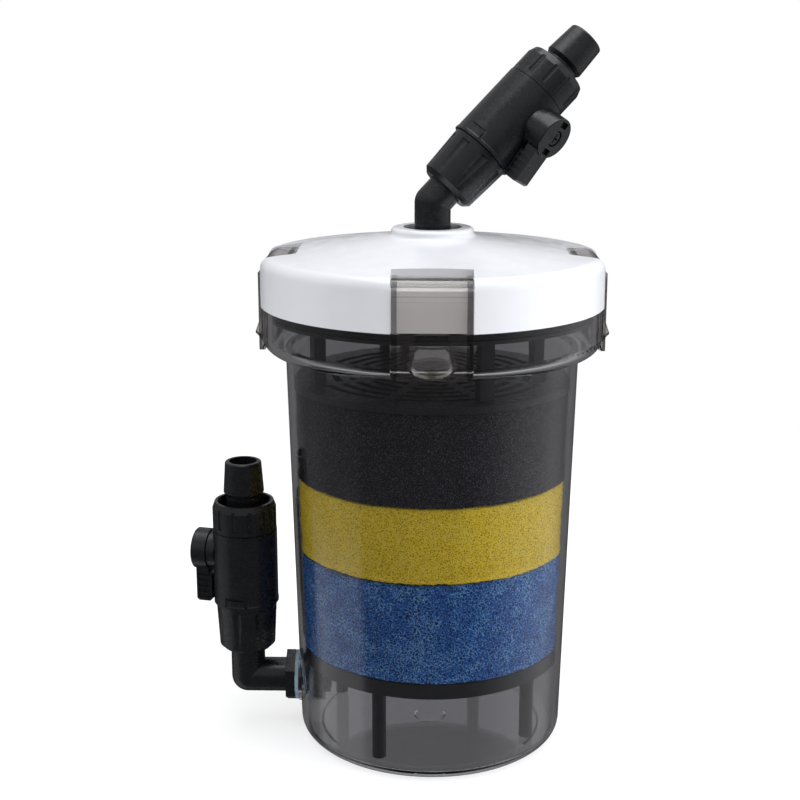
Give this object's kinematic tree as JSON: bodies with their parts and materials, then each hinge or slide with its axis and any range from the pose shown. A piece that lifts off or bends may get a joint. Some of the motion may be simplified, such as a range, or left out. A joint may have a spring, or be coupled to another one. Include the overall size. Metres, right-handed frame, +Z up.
{
  "type": "canister filter",
  "caption": "Pump-less aquarium canister pre-filter: smoked canister of stacked foam, white latched lid, and a ball valve on the inlet and the outlet.",
  "frame": {"origin": "middle of the canister's flat base, on the canister's axis", "axes": "+Z up along the canister's axis, -Y to the front latch, -X to the inlet valve"},
  "size_m": [0.1883, 0.156, 0.3183],
  "materials": {
    "smoked_canister": "clear smoked moulded plastic",
    "smoked_latch": "clear warm-grey moulded plastic",
    "white_lid": "gloss white",
    "black_fitting": "satin black moulding",
    "dark_grille": "satin",
    "blue_foam": "open-cell foam",
    "yellow_foam": "open-cell foam",
    "black_foam": "fine open-cell foam",
    "pale_rubber": "soft",
    "dark_rubber": "soft",
    "white_seat": "low-friction plastic",
    "pin_steel": "stainless"
  },
  "bodies": {
    "canister": {"canister_body": "smoked_canister", "support_tray": "dark_grille", "blue_sponge": "blue_foam", "yellow_sponge": "yellow_foam", "black_sponge": "black_foam", "top_grille": "dark_grille", "inlet_elbow": "black_fitting", "inlet_outer_gasket": "pale_rubber", "inlet_outer_nut": "black_fitting", "inlet_inner_gasket": "pale_rubber", "inlet_inner_nut": "black_fitting", "inlet_union_oring": "dark_rubber"},
    "lid": {"lid_cover": "white_lid", "lid_inner_plate": "dark_grille", "lid_seal_ring": "dark_rubber", "outlet_socket": "black_fitting", "outlet_socket_gasket": "dark_rubber", "outlet_socket_nut": "black_fitting", "latch_pin_right": "pin_steel", "latch_pin_back": "pin_steel", "latch_pin_left": "pin_steel", "latch_pin_front": "pin_steel"},
    "outlet_elbow": {"outlet_elbow": "black_fitting", "outlet_elbow_oring": "dark_rubber", "outlet_retaining_clip": "pin_steel", "outlet_union_oring": "dark_rubber"},
    "latch_right": {"latch_right": "smoked_latch"},
    "latch_back": {"latch_back": "smoked_latch"},
    "latch_left": {"latch_left": "smoked_latch"},
    "latch_front": {"latch_front": "smoked_latch"},
    "inlet_valve": {"inlet_valve_body": "black_fitting", "inlet_stem_oring": "dark_rubber", "inlet_lower_ball_seat": "white_seat", "inlet_upper_ball_seat": "white_seat", "inlet_hose_tail": "black_fitting"},
    "inlet_lever": {"inlet_valve_ball": "white_seat", "inlet_valve_lever": "black_fitting", "inlet_lever_screw": "black_fitting"},
    "inlet_union_nut": {"inlet_union_nut": "black_fitting"},
    "inlet_hose_nut": {"inlet_hose_nut": "black_fitting"},
    "outlet_valve": {"outlet_valve_body": "black_fitting", "outlet_stem_oring": "dark_rubber", "outlet_lower_ball_seat": "white_seat", "outlet_upper_ball_seat": "white_seat", "outlet_hose_tail": "black_fitting"},
    "outlet_lever": {"outlet_valve_ball": "white_seat", "outlet_valve_lever": "black_fitting", "outlet_lever_screw": "black_fitting"},
    "outlet_union_nut": {"outlet_union_nut": "black_fitting"},
    "outlet_hose_nut": {"outlet_hose_nut": "black_fitting"}
  },
  "joints": [
    {"name": "lid_lift", "type": "slide", "parent": "canister", "child": "lid", "axis": [0, 0, 1], "range_m": [0, 0.04]},
    {"name": "latch_right_swing", "type": "hinge", "parent": "lid", "child": "latch_right", "pos_m": [0.061, 0, 0.22], "axis": [0, -1, 0], "range_deg": [0, 100]},
    {"name": "latch_back_swing", "type": "hinge", "parent": "lid", "child": "latch_back", "pos_m": [0, 0.061, 0.22], "axis": [1, 0, 0], "range_deg": [0, 100]},
    {"name": "latch_left_swing", "type": "hinge", "parent": "lid", "child": "latch_left", "pos_m": [-0.061, 0, 0.22], "axis": [0, 1, 0], "range_deg": [0, 100]},
    {"name": "latch_front_swing", "type": "hinge", "parent": "lid", "child": "latch_front", "pos_m": [0, -0.061, 0.22], "axis": [-1, 0, 0], "range_deg": [0, 100]},
    {"name": "outlet_elbow_swivel", "type": "hinge", "parent": "lid", "child": "outlet_elbow", "pos_m": [0, 0, 0.235], "axis": [0, 0, 1], "continuous": true},
    {"name": "inlet_valve_swivel", "type": "hinge", "parent": "canister", "child": "inlet_valve", "pos_m": [-0.0853, 0, 0.0574], "axis": [0, 0, 1], "range_deg": [-110, 90]},
    {"name": "inlet_union_nut_spin", "type": "hinge", "parent": "canister", "child": "inlet_union_nut", "pos_m": [-0.0853, 0, 0.0494], "axis": [0, 0, 1], "continuous": true},
    {"name": "inlet_hose_nut_spin", "type": "hinge", "parent": "inlet_valve", "child": "inlet_hose_nut", "pos_m": [-0.0853, 0, 0.1014], "axis": [0, 0, 1], "continuous": true},
    {"name": "inlet_lever_turn", "type": "hinge", "parent": "inlet_valve", "child": "inlet_lever", "pos_m": [-0.0853, 0, 0.0834], "axis": [-0.9744, 0.225, 0], "range_deg": [0, 90]},
    {"name": "outlet_valve_swivel", "type": "hinge", "parent": "outlet_elbow", "child": "outlet_valve", "pos_m": [0.01883, 0.0054, 0.26359], "axis": [0.6797, 0.1949, 0.7071], "continuous": true},
    {"name": "outlet_union_nut_spin", "type": "hinge", "parent": "outlet_elbow", "child": "outlet_union_nut", "pos_m": [0.01339, 0.00384, 0.25793], "axis": [0.6797, 0.1949, 0.7071], "continuous": true},
    {"name": "outlet_hose_nut_spin", "type": "hinge", "parent": "outlet_valve", "child": "outlet_hose_nut", "pos_m": [0.04874, 0.01397, 0.2947], "axis": [0.6797, 0.1949, 0.7071], "continuous": true},
    {"name": "outlet_lever_turn", "type": "hinge", "parent": "outlet_valve", "child": "outlet_lever", "pos_m": [0.0365, 0.01047, 0.28197], "axis": [0.6481, -0.6111, -0.4545], "range_deg": [-15, 75]}
  ],
  "couplings": [
    {"joint": "latch_right_swing", "follows": "lid_lift", "rad_per_m": 43.6},
    {"joint": "latch_back_swing", "follows": "lid_lift", "rad_per_m": 43.6},
    {"joint": "latch_left_swing", "follows": "lid_lift", "rad_per_m": 43.6},
    {"joint": "latch_front_swing", "follows": "lid_lift", "rad_per_m": 43.6}
  ]
}
